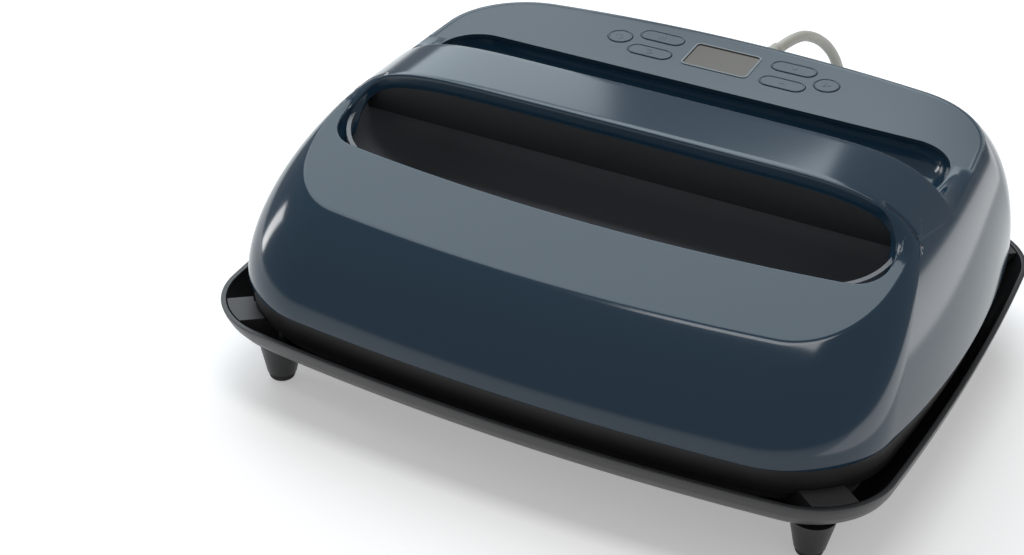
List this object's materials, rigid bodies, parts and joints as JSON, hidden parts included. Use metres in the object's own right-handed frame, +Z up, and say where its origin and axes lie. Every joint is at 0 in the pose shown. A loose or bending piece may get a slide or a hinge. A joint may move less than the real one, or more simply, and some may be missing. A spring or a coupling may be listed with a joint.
{
  "type": "handheld heat press on a safety base",
  "caption": "Wide handheld heat press with an arched handle ridge, sloping facets, a rear control panel and a coiled mains lead, standing in a low tray on tapered feet.",
  "frame": {"origin": "on the table under the middle of the safety base, cord left out", "axes": "+X along the handle ridge to the user's right, +Y from the front facet to the control panel, +Z up"},
  "size_m": [0.337, 0.4663, 0.1346],
  "materials": {
    "base_black": "matte moulded plastic",
    "tip_rubber": "matte rubber",
    "rest_silicone": "matte silicone",
    "insulation_grey": "matte pressed fibre",
    "plate_coat": "dark non-stick coating on cast aluminium",
    "element_steel": "heat-darkened steel sheath",
    "bare_aluminium": "mill finish",
    "zinc_steel": "zinc plated",
    "ceramic_white": "matte off-white",
    "shell_blue": "high gloss dark teal-blue",
    "panel_blue": "semi-gloss dark teal-blue",
    "liner_grey": "matte dark grey",
    "grip_black": "fine satin black",
    "lens_clear": "clear gloss",
    "rim_dark": "polished dark",
    "display_taupe": "unlit display, taupe grey",
    "board_green": "solder mask",
    "component_black": "moulded",
    "keypad_silicone": "matte silicone",
    "cord_grey": "satin warm grey flexible jacket",
    "brass_nickel": "plain"
  },
  "bodies": {
    "base": {"coil_tie": "base_black", "cord_coil": "cord_grey", "cord_run": "cord_grey", "corner_rest_back_left": "rest_silicone", "corner_rest_back_right": "rest_silicone", "corner_rest_front_left": "rest_silicone", "corner_rest_front_right": "rest_silicone", "floor_mat": "insulation_grey", "foot_back_left": "base_black", "foot_back_right": "base_black", "foot_front_left": "base_black", "foot_front_right": "base_black", "foot_tip_back_left": "tip_rubber", "foot_tip_back_right": "tip_rubber", "foot_tip_front_left": "tip_rubber", "foot_tip_front_right": "tip_rubber", "plug_blades": "brass_nickel", "plug_body": "cord_grey", "plug_ground_pin": "brass_nickel", "tray": "base_black"},
    "press": {"board_screws": "zinc_steel", "buzzer": "component_black", "capacitors": "component_black", "cavity_liner": "liner_grey", "control_board": "board_green", "display_lens": "lens_clear", "display_module": "display_taupe", "display_rim": "rim_dark", "grip": "grip_black", "heat_plate": "plate_coat", "heat_shield": "bare_aluminium", "heat_sink": "bare_aluminium", "heating_element": "element_steel", "insulation_board": "insulation_grey", "keypad_left": "keypad_silicone", "keypad_right": "keypad_silicone", "main_board": "board_green", "panel": "panel_blue", "plate_studs": "zinc_steel", "relay": "component_black", "shell": "shell_blue", "shell_screws": "zinc_steel", "skirt": "base_black", "strain_relief": "cord_grey", "temperature_sensor": "zinc_steel", "terminal_block": "ceramic_white", "thermal_fuse": "ceramic_white"},
    "button_power": {"button_power": "panel_blue"},
    "button_temperature": {"button_temperature": "panel_blue"},
    "button_timer": {"button_timer": "panel_blue"},
    "button_plus": {"button_plus": "panel_blue"},
    "button_minus": {"button_minus": "panel_blue"},
    "button_start": {"button_start": "panel_blue"}
  },
  "joints": [
    {"name": "press_lift", "type": "slide", "parent": "base", "child": "press", "axis": [0, 0, 1], "range_m": [0, 0.08]},
    {"name": "power_press", "type": "slide", "parent": "press", "child": "button_power", "axis": [0, 0.079, -0.9969], "range_m": [0, 0.0006], "stiffness_N_per_m": 600, "springref_m": -0.0005},
    {"name": "temperature_press", "type": "slide", "parent": "press", "child": "button_temperature", "axis": [0, 0.079, -0.9969], "range_m": [0, 0.0006], "stiffness_N_per_m": 600, "springref_m": -0.0005},
    {"name": "timer_press", "type": "slide", "parent": "press", "child": "button_timer", "axis": [0, 0.079, -0.9969], "range_m": [0, 0.0006], "stiffness_N_per_m": 600, "springref_m": -0.0005},
    {"name": "plus_press", "type": "slide", "parent": "press", "child": "button_plus", "axis": [0, 0.079, -0.9969], "range_m": [0, 0.0006], "stiffness_N_per_m": 600, "springref_m": -0.0005},
    {"name": "minus_press", "type": "slide", "parent": "press", "child": "button_minus", "axis": [0, 0.079, -0.9969], "range_m": [0, 0.0006], "stiffness_N_per_m": 600, "springref_m": -0.0005},
    {"name": "start_press", "type": "slide", "parent": "press", "child": "button_start", "axis": [0, 0.079, -0.9969], "range_m": [0, 0.0006], "stiffness_N_per_m": 600, "springref_m": -0.0005}
  ]
}
